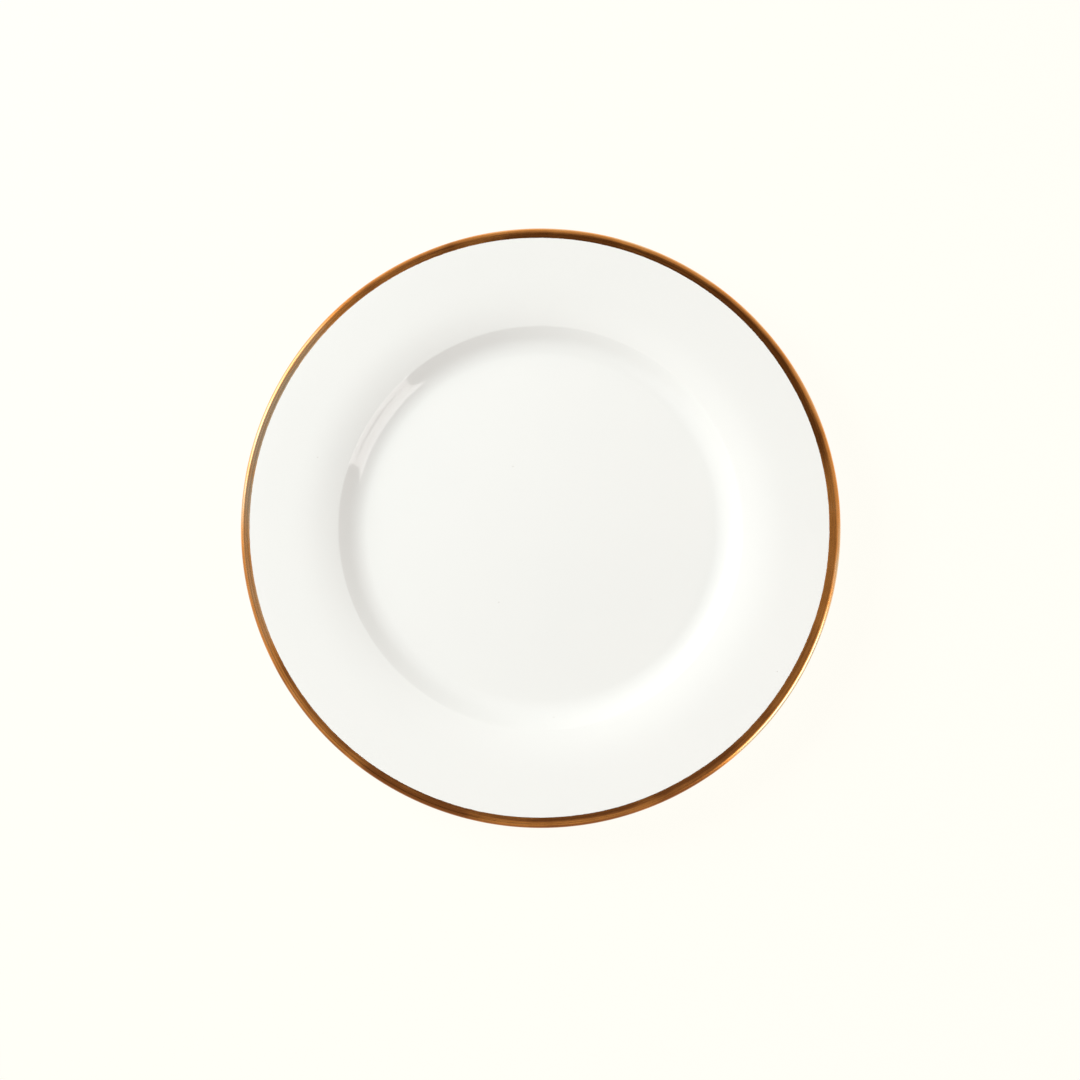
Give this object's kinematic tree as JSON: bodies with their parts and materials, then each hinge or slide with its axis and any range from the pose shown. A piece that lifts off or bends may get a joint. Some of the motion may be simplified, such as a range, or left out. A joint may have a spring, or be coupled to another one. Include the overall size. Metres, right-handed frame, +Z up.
{
  "type": "dinner plate",
  "caption": "Round white porcelain dinner plate with a flat well, a wide sloping rim, a foot ring beneath and a gold line round its lip.",
  "frame": {"origin": "centre of the foot ring, in the plane that the plate stands on", "axes": "+Z up through the middle of the well, along the plate's axis; the plate is round, so +X and +Y only set where the hand-drawn gold line runs slightly off centre"},
  "size_m": [0.27, 0.27, 0.0205],
  "materials": {
    "bare_porcelain": "matte",
    "white_glaze": "gloss",
    "fired_gold": "satin"
  },
  "bodies": {
    "root": {"porcelain_body": "bare_porcelain", "glaze_coat": "white_glaze", "foot_recess_glaze": "white_glaze", "gold_rim_band": "fired_gold"}
  },
  "joints": []
}
